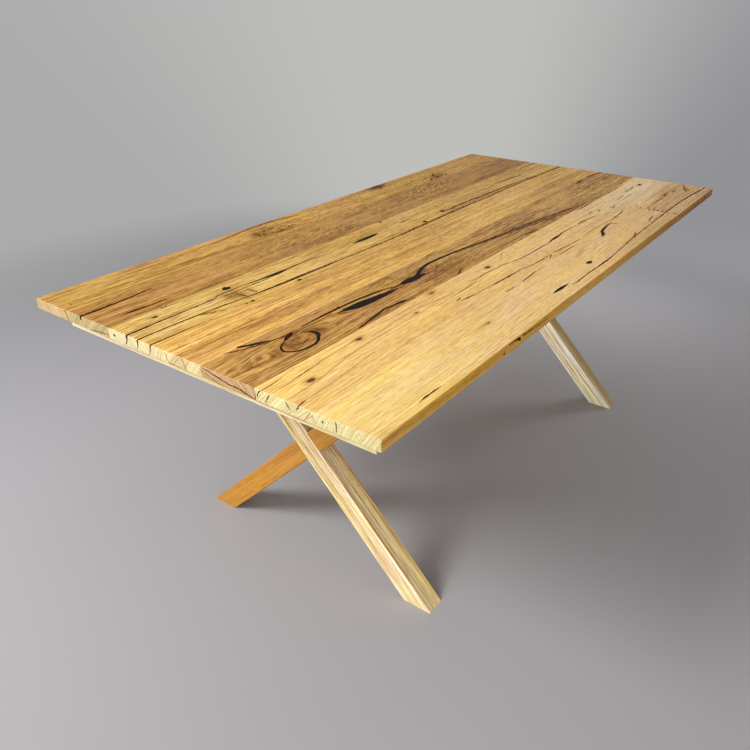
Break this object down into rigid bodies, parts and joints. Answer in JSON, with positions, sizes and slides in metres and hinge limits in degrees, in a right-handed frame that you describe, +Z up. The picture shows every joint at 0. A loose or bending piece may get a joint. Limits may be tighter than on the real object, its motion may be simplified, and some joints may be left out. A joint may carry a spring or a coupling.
{
  "type": "sawbuck table",
  "caption": "Rectangular timber dining table with an edge-glued top with black resin-filled veins, on crossed half-lapped leg frames.",
  "frame": {"origin": "on the floor, under the middle of the top", "axes": "+Z up, +X along the top to the end with the butt joint, +Y across it to the first board"},
  "size_m": [2, 0.98, 0.75],
  "materials": {
    "honey_timber": "satin oiled",
    "brown_timber": "satin oiled",
    "pale_timber": "satin oiled",
    "orange_timber": "satin oiled",
    "tenon_timber": "planed",
    "black_resin": "levelled and polished",
    "screw_steel": "zinc plated"
  },
  "bodies": {
    "root": {"butt_joint_tenons": "tenon_timber", "far_batten_screws": "screw_steel", "far_bearer": "pale_timber", "far_bearer_screws": "screw_steel", "far_end_batten": "pale_timber", "far_leg_left_foot": "orange_timber", "far_leg_right_foot": "pale_timber", "far_leg_tenons": "tenon_timber", "joint_1_2_tenons": "tenon_timber", "joint_2_3_tenons": "tenon_timber", "joint_3_4_tenons": "tenon_timber", "joint_4_5_tenons": "tenon_timber", "joint_5_6_tenons": "tenon_timber", "joint_6_7_tenons": "tenon_timber", "near_batten_screws": "screw_steel", "near_bearer": "pale_timber", "near_bearer_screws": "screw_steel", "near_end_batten": "pale_timber", "near_leg_left_foot": "orange_timber", "near_leg_right_foot": "pale_timber", "near_leg_tenons": "tenon_timber", "resin_crack_fills_board_5": "black_resin", "resin_fills_board_2": "black_resin", "resin_fills_board_3": "black_resin", "resin_fills_board_4": "black_resin", "resin_fills_board_5": "black_resin", "resin_fills_board_6": "black_resin", "resin_fills_board_7": "black_resin", "top_board_1": "brown_timber", "top_board_2": "brown_timber", "top_board_3": "honey_timber", "top_board_4": "honey_timber", "top_board_5": "brown_timber", "top_board_6": "honey_timber", "top_board_7_long": "honey_timber", "top_board_7_short": "honey_timber"}
  },
  "joints": []
}
